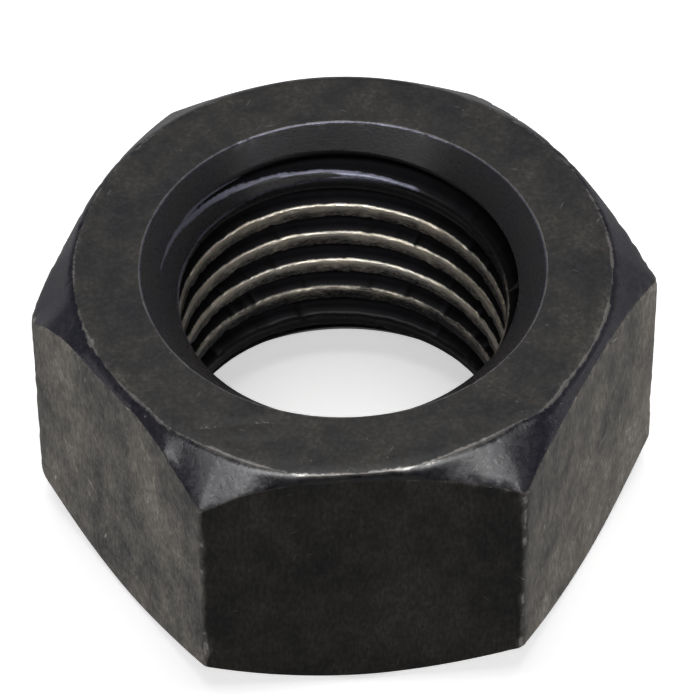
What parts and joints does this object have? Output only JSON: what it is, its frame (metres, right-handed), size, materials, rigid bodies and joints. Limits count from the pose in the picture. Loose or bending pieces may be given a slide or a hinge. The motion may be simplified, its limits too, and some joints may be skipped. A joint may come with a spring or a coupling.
{
  "type": "hex nut",
  "caption": "Plain hexagonal nut with a right-hand metric thread through it, countersunk and corner-chamfered on both faces, in black-finished steel.",
  "frame": {"origin": "on the thread axis, in the lower bearing face", "axes": "+Z along the thread axis out of the upper face; +X to a corner, +Y and -Y square to a pair of flats"},
  "size_m": [0.0468, 0.0406, 0.0229],
  "materials": {
    "black_steel": "thin black oxide over forged steel, worn bright along the edges and torn bright on the thread crests"
  },
  "bodies": {
    "root": {"hex_nut": "black_steel"}
  },
  "joints": []
}
